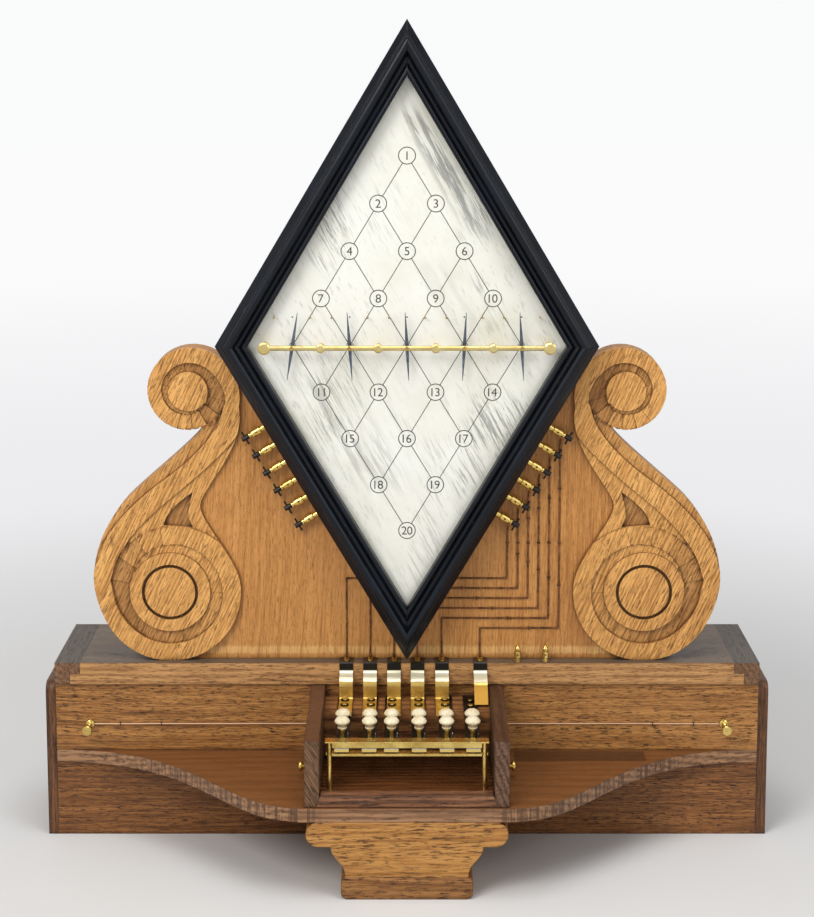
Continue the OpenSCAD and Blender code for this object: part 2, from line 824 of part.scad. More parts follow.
loose_path = concat(strip_upper,
    bez([edge_p + 8, bend_z + 0.6], [edge_p + 14, bend_z - 2], [24, bend_z - 8],
        [35, key_top + 1.6], 6),
    [[36, key_top + 1]]);

strip_screws = [-9, -3];
module connecting_strips()
    for (i = [0:key_count - 1])
        difference() {
            translate([strip_x(i), 0, 0])
                across(-strip_w / 2, strip_w / 2)
                    polygon(thicken(i < key_count - 1 ? strip_path : loose_path, strip_t));
            for (p = strip_screws)
                translate([strip_x(i), depth_y(p), lid_z - 1])
                    cylinder(d = screw_d, h = 3);
            for (p = key_screws)
                translate([key_x(i), depth_y(p), key_top - 1])
                    cylinder(d = screw_d, h = i < key_count - 1 ? 3 : 0.1);
        }

// Screws over the keys and on the lid
module screw(x, p, z, deep)
    translate([x, depth_y(p), z]) {
        translate([0, 0, -deep]) cylinder(d = screw_d, h = deep + 0.5);
        difference() {
            union() {
                cylinder(d = 5.6, h = 0.9);
                translate([0, 0, 0.9]) cylinder(d1 = 5.6, d2 = 4, h = 0.7);
            }
            translate([-0.35, -4, 1]) cube([0.7, 8, 1]);
        }
    }

module screws() {
    for (i = [0:key_count - 1]) {
        top = key_top + (i < key_count - 1 ? strip_t : 0);
        for (p = key_screws)
            screw(key_x(i), p, top, top - block_z + 9);
        for (p = strip_screws)
            screw(strip_x(i), p, lid_z + strip_t, strip_t);
    }
}

// Turned brass: terminals on the case, posts on the lid, knobs and cheek posts
// A terminal stands square to the case wall and shows beyond the frame's edge
term_n = 6;
term_hide = rail_out - case_out + 6.5;
term_p = case_p - 7;
term_first = 152.8;
lower_edge = [cos(edge), sin(edge)];
outward = [sin(edge), -cos(edge)];
case_foot = [0, dia_z - (case_out + 2 * fit) / cos(edge)];
function term_base(k) = case_foot + (term_first + k * term_pitch) * lower_edge;
function term_end(k) = term_base(k) + (term_hide + 9.7) * outward;
module terminal()
    difference() {
        union() {
            cylinder(d = 4, h = term_hide + 20);
            cylinder(d = 6, h = term_hide);
            translate([0, 0, term_hide + 1.5]) cylinder(d = term_d, h = 9);
            translate([0, 0, term_hide + 12.4]) cylinder(d = 6.2, h = 1.4);
            translate([0, 0, term_hide + 15]) cylinder(d = 5, h = 7);
            translate([-7, 0, term_hide + 18.5]) rotate([0, 90, 0]) cylinder(d = 2, h = 14);
        }
        translate([0, 6, term_hide + 6])
            rotate([90, 0, 0])
                cylinder(d = wire_d + 0.4, h = 12);
    }

module frame_terminals()
    for (flip = [false, true])
        mirror_if(flip)
            for (k = [0:term_n - 1])
                translate([term_base(k).x, depth_y(term_p), term_base(k).y])
                    rotate([0, 180 - edge, 0])
                        terminal();

post_x = [110, 137.5];
post_p = -2.5;
module lid_post(x)
    translate([x, depth_y(post_p), lid_z])
        difference() {
            rotate_extrude()
                polygon(concat([[0, 0], [3.4, 0], [3.4, 1.2], [2.2, 2], [2.2, 3.2], [3.5, 4],
                    [3.5, post_h - 7], [1.8, post_h - 6]],
                    bez([2.8, post_h - 5.4], [3.6, post_h - 3], [1.6, post_h - 0.6],
                        [0, post_h], 6), [[0, post_h]]));
            translate([0, 8, post_h * 0.42])
                rotate([90, 0, 0])
                    cylinder(d = post_bore, h = 16);
        }

knob_x = half_w * 0.903;
wire_z = shelf_z + (box_h - shelf_z) * 0.4;
module knob_shape(len)
    rotate_extrude()
        polygon([[0, 0], [4.2, 0], [4.2, 1.4], [2.2, 2.4], [2.2, len * 0.35], [3.4, len * 0.42],
            [2.2, len * 0.5], [2.4, len - 4], [5, len - 2.4], [5, len - 0.8], [4.4, len],
            [0, len]]);

module brass_posts() {
    frame_terminals();
    for (x = post_x)
        lid_post(x);
    for (s = [-1, 1])
        translate([s * knob_x, face_y, wire_z])
            rotate([90, 0, 0])
                knob_shape(22);
    for (s = [-1, 1])
        translate([s * keybox_w / 2, depth_y(72), shelf_z + 12])
            rotate([0, s * 90, 0])
                knob_shape(9);
}

// Bare wires, laid on the boards
module wire_run(path)
    for (i = [0:len(path) - 2]) {
        v = path[i + 1] - path[i];
        u = v / norm(v) * wire_d * 0.45;
        translate(path[i] - u)
            rotate([0, acos(v.z / norm(v)), atan2(v.y, v.x)])
                cylinder(d = wire_d, h = norm(v) + wire_d * 0.9, $fn = 8);
    }

wire_y = depth_y(panel_p) - wire_d / 2;
first_run = 82.5;
function run_z(k) = lid_z + first_run - k * wire_pitch;
module wires() {
    screw_y = depth_y(strip_screws[0]) + 2;
    low = lid_z + 3.4;
    for (k = [0:term_n - 1]) {
        x = term_end(k).x;
        top = term_end(k).y - term_d / 2 / sin(edge) - wire_d;
        wire_run([[x, depth_y(term_p), top], [x, wire_y, top - 6], [x, wire_y, run_z(k)],
            [strip_x(k), wire_y, run_z(k)], [strip_x(k), wire_y, low],
            [strip_x(k), screw_y, low]]);
    }
    for (s = [-1, 1])
        wire_run([[s * (knob_x - 5.2), face_y - wire_d / 2, wire_z],
            [s * (keybox_w / 2 + 0.8), face_y - wire_d / 2, wire_z]]);
}

// Staples over the wires: x, y of the board, z, and the turn of the crown
module staple(x, y, z, turn) {
    w = wire_d + 1.8;
    translate([x, y, z])
        rotate([0, turn, 0])
            difference() {
                translate([-w / 2, -wire_d - 0.75, -0.35]) cube([w, wire_d + 0.75, 0.7]);
                translate([-wire_d / 2 - 0.15, -wire_d - 0.05, -1]) cube([wire_d + 0.3, wire_d + 1, 2]);
            }
}

staple_top = lid_z + panel_h * 0.431;
module staples() {
    py = depth_y(panel_p);
    for (k = [0:term_n - 1]) {
        x = term_end(k).x;
        staple(x, py, staple_top, 0);
        if (k > 0)
            staple(x, py, staple_top - 11 - 8.1 * (k - 1), 0);
        if (k > 1)
            staple(x, py, staple_top + 25 + 10 * (k - 2), 0);
        staple(strip_x(k) + (x - strip_x(k)) * 0.62, py, run_z(k), 90);
    }
    for (s = [-1, 1])
        for (x = [0.7, 0.817])
            staple(s * half_w * x, face_y, wire_z, 90);
}

color(dark_oak) end_plate(true);  // end_plate_left
color(dark_oak) end_plate(false);  // end_plate_right
color(dark_oak) front_board_upper();
color(dark_oak) front_board_lower();
color(dark_oak) back_board();
color(dark_oak) bottom_board();
color(dark_oak) lid_board();
color(dark_oak) lid_cleats();
color(dark_oak) shelf();
color(oak) bracket();
color(oak) foot_block();
color(dark_oak) cheek(true);  // cheek_left
color(dark_oak) cheek(false);  // cheek_right
color(dark_oak) key_floor();
color(oak) front_rail();
color(dark_oak) key_block();
color(oak) upright_panel();
color(oak) scroll(true);  // scroll_left
color(oak) scroll(false);  // scroll_right
color(black) frame_rail(-1, 1);  // frame_top_left
color(black) frame_rail(1, 1);  // frame_top_right
color(black) frame_rail(-1, -1);  // frame_bottom_left
color(black) frame_rail(1, -1);  // frame_bottom_right
color(dark_oak) case();
color(oak) dial_board();
color("#dddcd4") dial_plate();
color(brass) needle_bar();
color(brass) dial_pins();
color(steel) needle(0);  // needle_1
color(steel) needle(1);  // needle_2
color(steel) needle(2);  // needle_3
color(steel) needle(3);  // needle_4
color(steel) needle(4);  // needle_5
color("#4a2f20") coils();
color(brass) coil_bar();
color(black) key_roots();
color(black) key(0);  // key_1
color(black) key(1);  // key_2
color(black) key(2);  // key_3
color(black) key(3);  // key_4
color(black) key(4);  // key_5
color(black) key(5);  // key_6
color(brass) contact_bars();
color(ivory) button(0, row_front);  // button_front_1
color(ivory) button(1, row_front);  // button_front_2
color(ivory) button(2, row_front);  // button_front_3
color(ivory) button(3, row_front);  // button_front_4
color(ivory) button(4, row_front);  // button_front_5
color(ivory) button(5, row_front);  // button_front_6
color(ivory) button(0, row_rear);  // button_rear_1
color(ivory) button(1, row_rear);  // button_rear_2
color(ivory) button(2, row_rear);  // button_rear_3
color(ivory) button(3, row_rear);  // button_rear_4
color(ivory) button(4, row_rear);  // button_rear_5
color(ivory) button(5, row_rear);  // button_rear_6
color(brass) connecting_strips();
color(brass) screws();
color(brass) brass_posts();
color("#7a4a28") wires();
color("#7a4a28") staples();
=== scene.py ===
import math
import bmesh
import bpy
from mathutils import Matrix, Vector


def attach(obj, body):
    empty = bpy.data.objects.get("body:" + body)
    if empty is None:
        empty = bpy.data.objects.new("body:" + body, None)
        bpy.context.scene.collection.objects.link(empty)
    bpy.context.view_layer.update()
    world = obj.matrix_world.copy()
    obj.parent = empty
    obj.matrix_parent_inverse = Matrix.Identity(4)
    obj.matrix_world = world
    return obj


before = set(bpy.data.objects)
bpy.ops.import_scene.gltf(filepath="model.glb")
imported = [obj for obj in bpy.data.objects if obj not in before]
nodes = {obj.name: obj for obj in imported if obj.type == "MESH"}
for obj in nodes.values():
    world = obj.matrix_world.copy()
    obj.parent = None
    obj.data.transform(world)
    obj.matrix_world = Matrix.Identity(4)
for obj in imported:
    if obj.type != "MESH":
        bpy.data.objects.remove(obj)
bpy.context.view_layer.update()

# Places repeated from the part's source, in metres; depth P is measured forward of the box front
FACE_Y = 0.012
DIA_Z = 0.4995
EDGE = math.atan2(0.313, 0.1854)
DIAL_P = 0.010
NEEDLE_PITCH = 0.0553
KEY_PITCH = 0.0246
KEY_SHIFT = [0.0005, 0.0016, -0.0023, -0.001, 0.0004, 0.0005]
KEY_TOP = 0.1469
KEY_UNDER = 0.1384
KEY_BLOCK_Y = -0.0935
KEY_BEND_P = 0.0453
KEY_SLOPE = 0.12095
KEY_SCREWS_P = (0.021, 0.035)
BUTTON_SPLIT = 0.1499
STOP_PIN_RISE = 0.0278
CASE_BACK_Y = FACE_Y + 0.040

# Heights where a finish changes, in metres
STRIP_LOOSE, STRIP_LOW, STRIP_BEND, STRIP_TOP = 0.1615, 0.1652, 0.1716, 0.1802
PANEL_RUBBED = (0.186, 0.196)
WIRE_LIT_BELOW = 0.155
NUT_LOWEST = 0.215
# Distances from the middle of the dial, square to its edges
NUT_START = 0.1798
DIAL_RIM = (0.1275, 0.1345)


def at(x, p, z):
    return Vector((x, FACE_Y - p, z))


def key_x(i):
    return (i - 2.5) * KEY_PITCH + KEY_SHIFT[i]


def lin(r, g, b):
    """A colour written in 0 to 255 screen values, as the linear values the shader wants."""
    out = []
    for v in (r, g, b):
        v /= 255
        out.append(v / 12.92 if v <= 0.04045 else ((v + 0.055) / 1.055) ** 2.4)
    return (*out, 1.0)


# Camera
# It stands 1800 mm in front of the box face and 798 mm above the table, and looks down by TILT
TILT = math.radians(7.45)
CAMERA_BACK = 1.8
CAMERA_HEIGHT = 0.798
SENSOR = 36.0
FOCAL_PIXELS = 1876
PICTURE_WIDTH = 814
SHIFT = -0.22
cam_data = bpy.data.cameras.new("camera")
cam = bpy.data.objects.new("camera", cam_data)
bpy.context.collection.objects.link(cam)
bpy.context.scene.camera = cam
cam_data.sensor_fit = "HORIZONTAL"
cam_data.sensor_width = SENSOR
cam_data.lens = SENSOR * FOCAL_PIXELS / PICTURE_WIDTH
cam_data.shift_x = 0.0
cam_data.shift_y = SHIFT
cam_data.clip_start = 0.05
cam_data.clip_end = 30
cam.location = (0.0, FACE_Y - CAMERA_BACK, CAMERA_HEIGHT)
cam.rotation_euler = (math.radians(90) - TILT, 0, 0)


# Shader helpers
class Shade:
    """One procedural material; positions are metres in the object's own space."""

    def __init__(self, name):
        self.mat = bpy.data.materials.new(name)
        self.mat.use_nodes = True
        self.nt = self.mat.node_tree
        self.nt.nodes.clear()
        self.bsdf = self.add("ShaderNodeBsdfPrincipled")
        out = self.add("ShaderNodeOutputMaterial")
        self.nt.links.new(self.bsdf.outputs[0], out.inputs[0])
        self.pos = self.add("ShaderNodeTexCoord").outputs["Object"]
        geo = self.add("ShaderNodeNewGeometry")
        self.normal = geo.outputs["Normal"]

    def add(self, kind, ins=None, **props):
        n = self.nt.nodes.new(kind)
        for k, v in props.items():
            setattr(n, k, v)
        for k, v in (ins or {}).items():
            self.put(n.inputs[k], v)
        return n

    def put(self, socket, v):
        if isinstance(v, bpy.types.NodeSocket):
            self.nt.links.new(v, socket)
        else:
            socket.default_value = v

    def set(self, **vals):
        for k, v in vals.items():
            self.put(self.bsdf.inputs[k.replace("_", " ")], v)

    def math(self, op, a, b=0.0, clamp=False):
        n = self.add("ShaderNodeMath", operation=op, use_clamp=clamp)
        self.put(n.inputs[0], a)
        self.put(n.inputs[1], b)
        return n.outputs[0]

    def vec(self, op, a, b):
        n = self.add("ShaderNodeVectorMath", operation=op)
        self.put(n.inputs[0], a)
        self.put(n.inputs[1], b)
        return n.outputs["Value"] if op == "DOT_PRODUCT" else n.outputs[0]

    def xyz(self, v):
        n = self.add("ShaderNodeSeparateXYZ")
        self.put(n.inputs[0], v)
        return n.outputs[0], n.outputs[1], n.outputs[2]

    def turn(self, v, rot, loc=(0, 0, 0)):
        n = self.add("ShaderNodeMapping")
        self.put(n.inputs["Vector"], v)
        n.inputs["Rotation"].default_value = rot
        n.inputs["Location"].default_value = loc
        return n.outputs[0]

    def noise(self, v, scale, detail=2.0, rough=0.5, colour=False):
        if not isinstance(scale, tuple):
            scale = (scale, scale, scale)
        n = self.add("ShaderNodeTexNoise")
        self.put(n.inputs["Vector"], self.vec("MULTIPLY", v, scale))
        n.inputs["Scale"].default_value = 1.0
        n.inputs["Detail"].default_value = detail
        n.inputs["Roughness"].default_value = rough
        return n.outputs[1] if colour else n.outputs[0]

    def step(self, v, lo, hi, a=0.0, b=1.0):
        n = self.add("ShaderNodeMapRange", interpolation_type="SMOOTHSTEP")
        self.put(n.inputs[0], v)
        for i, x in enumerate((lo, hi, a, b)):
            n.inputs[i + 1].default_value = x
        return n.outputs[0]

    def between(self, v, lo, lo_full, hi_full, hi):
        """One between lo_full and hi_full, fading to nought at lo and hi."""
        return self.math("MULTIPLY", self.step(v, lo, lo_full), self.step(v, hi_full, hi, 1.0, 0.0))

    def ramp(self, v, stops):
        n = self.add("ShaderNodeValToRGB")
        self.put(n.inputs[0], v)
        el = n.color_ramp.elements
        while len(el) < len(stops):
            el.new(0.5)
        for e, (p, c) in zip(el, stops):
            e.position = p
            e.color = c
        return n.outputs[0]

    def mix(self, f, a, b, kind="MIX"):
        n = self.add("ShaderNodeMix", data_type="RGBA", blend_type=kind)
        self.put(n.inputs[0], f)
        self.put(n.inputs[6], a)
        self.put(n.inputs[7], b)
        return n.outputs[2]

    def soft(self, radius, samples=4):
        n = self.add("ShaderNodeBevel", samples=samples)
        n.inputs[0].default_value = radius
        return n.outputs[0]

    def edges(self, soft, lo=0.03, hi=0.25):
        d = self.vec("DOT_PRODUCT", soft, self.normal)
        return self.step(self.math("SUBTRACT", 1.0, d), lo, hi)

    def bump(self, height, strength, distance, normal=None):
        n = self.add("ShaderNodeBump")
        self.put(n.inputs["Height"], height)
        n.inputs["Strength"].default_value = strength
        n.inputs["Distance"].default_value = distance
        if normal is not None:
            self.put(n.inputs["Normal"], normal)
        return n.outputs[0]

    def hollow(self, distance, samples=4, own=True):
        n = self.add("ShaderNodeAmbientOcclusion", samples=samples, only_local=own)
        n.inputs["Distance"].default_value = distance
        return self.math("SUBTRACT", 1.0, n.outputs["AO"], clamp=True)


# Wood
ALONG_X = (0, 0, 0)
ALONG_Z = (0, math.radians(90), 0)
ALONG_Y = (0, 0, math.radians(90))


def wood(name, grain, seed, light, mid, dark, pore, pores=0.6, flecks=0.3, rings=0.35, ring_gap=0.006,
         rough=0.42, relief=0.35, round_off=0.0009, grime_and_shade=0.75, wear=0.35, top=None, patch=None, sunk_shade=None,
         ends=None, pale=None, gloss=0.12, fine=1.0, calm=1.0):
    """Oak whose grain runs along X after the turn named grain.

    top: colour and share laid on faces that look up; the grey on the lid and cleats is dust and a painted
    sheen.
    patch: darker rectangle as X, depth and share.
    sunk_shade: two places along Y, and the tint and share of the painted shade that darkens carved hollows
    and the back of a recess. ends: X range and share of the short lines on a sawn front edge. pale: two
    heights of a rubbed row. fine scales the grain, calm its contrast.
    """
    s = Shade(name)
    g = s.turn(s.pos, grain, seed)
    sway = s.vec("SUBTRACT", s.noise(g, (2.6, 11, 11), 2, 0.5, True), (0.5, 0.5, 0.5))
    drift = s.vec("MULTIPLY", sway, (0.0, 0.02, 0.02))
    v = s.vec("ADD", g, drift)
    band = s.noise(v, (1.5, 95, 95), 4, 0.6)
    ring_n = s.add("ShaderNodeTexWave", wave_type="RINGS", rings_direction="X", wave_profile="SIN")
    s.put(ring_n.inputs["Vector"], s.vec("MULTIPLY", v, (0.25, 1, 1)))
    ring_n.inputs["Scale"].default_value = 0.314 / ring_gap
    ring_n.inputs["Distortion"].default_value = 2.2
    ring_n.inputs["Detail"].default_value = 2.0
    ring_n.inputs["Detail Scale"].default_value = 1.4
    tone = s.noise(g, (1.3, 7, 7), 2, 0.5)
    fibre = s.noise(v, (30 * fine, 1300 * fine, 1300 * fine), 2, 0.6)
    line = s.noise(v, (12 * fine, 330 * fine, 330 * fine), 3, 0.65)
    pore_n = s.noise(v, (62 * fine, 520 * fine, 520 * fine), 3, 0.7)
    fleck_n = s.noise(v, (120, 330, 330), 2, 0.5)

    ring = s.math("MULTIPLY", ring_n.outputs[1], rings)
    body = s.math("ADD", s.math("MULTIPLY", band, 0.8 - rings), ring)
    body = s.math("ADD", body, s.math("MULTIPLY", s.math("SUBTRACT", tone, 0.35), 0.7))
    body = s.math("ADD", body, s.math("MULTIPLY", s.math("SUBTRACT", line, 0.5), 1.3))
    body = s.math("ADD", s.math("MULTIPLY", s.math("SUBTRACT", body, 0.47), calm), 0.47)
    col = s.ramp(body, [(0.22, dark), (0.47, mid), (0.74, light)])
    col = s.mix(s.step(fibre, 0.3, 0.75, 0.0, 0.30), col, light)
    pore_at = s.math("MULTIPLY", s.step(pore_n, 0.52, 0.62), s.step(band, 0.30, 0.62, 0.45, 1.0))
    col = s.mix(s.math("MULTIPLY", pore_at, pores), col, pore)
    fleck_at = s.math("MULTIPLY", s.step(fleck_n, 0.60, 0.70), flecks)
    col = s.mix(fleck_at, col, light)
    # Faces that look up take their own colour; the grey on the lid and cleats is dust and a painted sheen
    if top is not None:
        up = s.math("MULTIPLY", s.step(s.xyz(s.normal)[2], 0.6, 0.95), top[1])
        grained = s.ramp(body, [(0.2, (0.55, 0.55, 0.55, 1)), (0.8, (1, 1, 1, 1))])
        up_face_col = s.mix(0.55, top[0], s.mix(1.0, top[0], grained, "MULTIPLY"))
        col = s.mix(up, col, up_face_col)
    # A darker rectangle laid over part of the shelf
    if patch is not None:
        x, y, _ = s.xyz(s.pos)
        (x0, x1), (p0, p1), amount = patch
        y0, y1 = FACE_Y - p1, FACE_Y - p0
        across = s.between(x, x0 - 0.001, x0 + 0.001, x1 - 0.001, x1 + 0.001)
        deep = s.between(y, y0 - 0.0015, y0 + 0.0015, y1 - 0.0015, y1 + 0.0015)
        patch_at = s.math("MULTIPLY", across, deep)
        col = s.mix(s.math("MULTIPLY", patch_at, amount), col, pore)
    if pale is not None:
        z = s.xyz(s.pos)[2]
        ragged = s.math("ADD", z, s.math("MULTIPLY", s.noise(s.pos, (700, 30, 8), 2, 0.6), 0.006))
        worn_row = s.math("MULTIPLY", s.step(ragged, pale[0], pale[0] + 0.002),
                          s.step(ragged, pale[1] - 0.003, pale[1], 0.6, 0.0))
        worn_row = s.math("MULTIPLY", worn_row, s.step(line, 0.35, 0.65, 0.3, 1.0))
        col = s.mix(worn_row, col, lin(240, 196, 128))
    if ends is not None:
        (x0, x1), amount = ends
        across = s.math("ABSOLUTE", s.xyz(s.pos)[0])
        place = s.between(across, x0, x0 + 0.02, x1 - 0.03, x1)
        facing = s.step(s.xyz(s.normal)[1], -0.75, -0.35, 1.0, 0.0)
        lines = s.step(s.noise(s.pos, (330, 12, 26), 2, 0.6), 0.44, 0.6)
        where = s.math("MULTIPLY", place, facing)
        cut = s.math("MULTIPLY", where, s.math("MULTIPLY", lines, amount))
        col = s.mix(cut, col, s.mix(0.45, pore, dark))
    # Painted shade: darker the further a surface lies behind the front, in carved hollows and at the back of
    # the key floor
    if sunk_shade is not None:
        y0, y1, shade, amount = sunk_shade
        deep = s.step(s.xyz(s.pos)[1], y0, y1, 0.0, amount)
        col = s.mix(deep, col, s.mix(1.0, col, shade, "MULTIPLY"))
    # Grime and painted shade: darker where other surfaces close in, along carved steps, in hollows and in the
    # joints between parts
    if grime_and_shade:
        darkening = s.step(s.hollow(0.006, own=False), 0.27, 0.42, 0.0, grime_and_shade)
        col = s.mix(darkening, col, (pore[0] * 0.7, pore[1] * 0.65, pore[2] * 0.6, 1))
    soft = s.soft(round_off)
    edge = s.math("MULTIPLY", s.edges(soft), s.step(s.noise(s.pos, 60, 3, 0.6), 0.38, 0.66, 0.15, wear))
    col = s.mix(edge, col, pore)
    s.set(Base_Color=col)
    shine = s.math("ADD", rough - 0.07, s.math("MULTIPLY", line, 0.16))
    s.set(Roughness=s.math("ADD", shine, s.math("MULTIPLY", pore_at, 0.22), clamp=True))
    s.set(Coat_Weight=gloss * 0.5, Coat_Roughness=0.24, Specular_IOR_Level=0.3)
    height = s.math("SUBTRACT", s.math("MULTIPLY", s.math("ADD", line, fibre), 0.35), pore_at)
    s.set(Normal=s.bump(height, relief, 0.0005, soft))
    return s.mat


def front_y(name):
    """The foremost place of a node, which is where its carved face starts."""
    return min((nodes[name].matrix_world @ Vector(c)).y for c in nodes[name].bound_box)


def assign(mat, *names):
    for n in names:
        for sl in nodes[n].material_slots:
            sl.material = mat


GOLD = dict(light=lin(238, 180, 106), mid=lin(204, 146, 78), dark=lin(146, 92, 40), pore=lin(74, 38, 12))
WARM = dict(light=lin(220, 160, 92), mid=lin(192, 132, 69), dark=lin(144, 90, 40), pore=lin(78, 42, 15))
BASE = dict(light=lin(198, 144, 78), mid=lin(166, 112, 54), dark=lin(116, 71, 30), pore=lin(52, 27, 9))
BROWN = dict(light=lin(190, 136, 75), mid=lin(158, 106, 54), dark=lin(104, 62, 27), pore=lin(36, 18, 6))
DARK = dict(light=lin(158, 106, 58), mid=lin(122, 76, 38), dark=lin(78, 45, 21), pore=lin(26, 13, 6))
GREY = dict(light=lin(136, 100, 72), mid=lin(102, 72, 48), dark=lin(68, 45, 28), pore=lin(28, 18, 11))
DULL = dict(light=lin(120, 88, 66), mid=lin(90, 64, 45), dark=lin(60, 40, 27), pore=lin(24, 16, 10))


def steep(deg):
    """Grain that climbs at deg from the horizontal, towards +X."""
    return (0, math.radians(deg), 0)


def carved(side, grain, seed):
    """Oak of a scroll, with painted shade darkening its carved hollows."""
    face = front_y("scroll_" + side)
    hollow = (face + 0.0016, face + 0.0055, (0.50, 0.47, 0.50, 1.0), 0.75)
    mat = wood("oak_scroll_" + side, grain, seed, **GOLD, pores=0.7, flecks=0.3, rings=0.16, ring_gap=0.0034,
               rough=0.5, relief=0.5, round_off=0.0006, grime_and_shade=0.85, wear=0.2, sunk_shade=hollow, fine=1.6)
    assign(mat, "scroll_" + side)


carved("left", steep(64), (0.3, 0.05, 0.11))
carved("right", steep(66), (0.9, 0.07, 0.37))
assign(wood("oak_panel", steep(88), (0.1, 0.22, 0.05), **WARM, pores=0.42, flecks=0.3, rings=0.12,
            ring_gap=0.005, rough=0.38, relief=0.25, grime_and_shade=0.6, wear=0.4, fine=1.9, calm=0.62,
            pale=PANEL_RUBBED), "upright_panel")
assign(wood("oak_bracket", ALONG_X, (0.5, 0.31, 0.2), **BASE, pores=0.85, flecks=0.2, rings=0.15, fine=1.3,
            rough=0.5, relief=0.6, round_off=0.0016, wear=0.7), "bracket")
assign(wood("oak_foot", ALONG_X, (1.5, 0.11, 0.6), light=lin(170, 120, 68), mid=lin(138, 92, 48),
            dark=lin(92, 55, 25), pore=lin(34, 18, 8), pores=0.85, flecks=0.2, rings=0.2, fine=1.3,
            rough=0.52, relief=0.6, round_off=0.0022, wear=0.85), "foot_block")
assign(wood("oak_front_upper", ALONG_X, (2.5, 0.41, 0.16), **BROWN, pores=0.95, flecks=0.3, rings=0.12,
            rough=0.42, relief=0.6, wear=0.8, fine=1.9), "front_board_upper")
assign(wood("oak_front_lower", ALONG_X, (3.7, 0.13, 0.46), **DARK, pores=0.95, flecks=0.25, rings=0.12,
            rough=0.44, relief=0.6, wear=0.8, fine=1.9), "front_board_lower")
assign(wood("oak_lid", ALONG_X, (4.2, 0.21, 0.86), light=lin(204, 154, 98), mid=lin(178, 130, 80),
            dark=lin(134, 90, 50), pore=lin(66, 38, 18), pores=0.7, flecks=0.3, rings=0.2, rough=0.4,
            relief=0.4, wear=0.8, round_off=0.0016, top=(lin(82, 78, 72), 0.85), fine=1.7), "lid_board")
assign(wood("oak_cleat", ALONG_Y, (0.2, 0.9, 0.6), light=lin(140, 104, 74), mid=lin(112, 80, 56),
            dark=lin(80, 54, 36), pore=lin(36, 24, 16), pores=0.6, flecks=0.2, rings=0.2, rough=0.42,
            relief=0.4, wear=0.9, round_off=0.0018, top=(lin(74, 70, 64), 0.85)), "lid_cleats")
assign(wood("oak_ends", ALONG_Z, (0.6, 0.3, 0.1), light=lin(124, 82, 50), mid=lin(86, 54, 32),
            dark=lin(52, 31, 18), pore=lin(20, 12, 8), pores=0.8, flecks=0.2, rings=0.2, rough=0.44,
            relief=0.5, wear=0.9, round_off=0.0018, fine=1.6), "end_plate_left", "end_plate_right")
assign(wood("oak_back", ALONG_X, (5.2, 0.5, 0.3), **DARK, pores=0.6, flecks=0.1, rings=0.45, ring_gap=0.009,
            rough=0.6, relief=0.6, wear=0.6, gloss=0.0), "back_board", "bottom_board", "key_block")
assign(wood("oak_shelf", ALONG_X, (6.1, 0.5, 0.93), light=lin(166, 124, 88), mid=lin(136, 98, 68),
            dark=lin(98, 64, 40), pore=lin(44, 26, 15), pores=0.7, flecks=0.15, rings=0.35, rough=0.36,
            relief=0.45, wear=0.9, round_off=0.0016, top=(lin(118, 72, 34), 0.9),
            patch=((0.106, 0.236), (0.004, 0.030), 0.6), gloss=0.3, ends=((0.075, 0.285), 0.75)), "shelf")
assign(wood("oak_cheek_left", steep(-58), (0.4, 0.2, 0.7), **GREY, pores=0.8, flecks=0.2, rings=0.25,
            ring_gap=0.0026, rough=0.5, relief=0.7, wear=0.9, round_off=0.0018,
            top=(lin(94, 58, 36), 0.8)), "cheek_left")
assign(wood("oak_cheek_right", ALONG_Y, (0.7, 0.6, 0.2), **DULL, pores=0.7, flecks=0.2, rings=0.4,
            rough=0.5, relief=0.6, wear=0.9, round_off=0.0018, top=(lin(72, 42, 25), 0.8)), "cheek_right")
# The key floor darkens towards the back: a painted shadow
assign(wood("oak_key_floor", ALONG_X, (7.3, 0.4, 0.2), light=lin(122, 74, 38), mid=lin(92, 52, 26),
            dark=lin(62, 34, 18), pore=lin(30, 17, 10), pores=0.4, flecks=0.1, rings=0.4, rough=0.2,
            relief=0.15, wear=0.5, gloss=0.6, sunk_shade=(-0.09, -0.03, (0.25, 0.2, 0.2, 1), 0.9)), "key_floor")
assign(wood("oak_front_rail", ALONG_X, (8.3, 0.3, 0.55), light=lin(156, 108, 76), mid=lin(126, 84, 57),
            dark=lin(84, 53, 34), pore=lin(34, 21, 14), pores=0.9, flecks=0.15, rings=0.35, rough=0.5,
            relief=0.7, wear=0.9, round_off=0.0018), "front_rail")
assign(wood("oak_case", steep(60), (0.5, 0.7, 0.3), **BROWN, pores=0.6, flecks=0.15, rings=0.45,
            ring_gap=0.01, rough=0.55, relief=0.5, wear=0.7, gloss=0.0), "case", "dial_board")


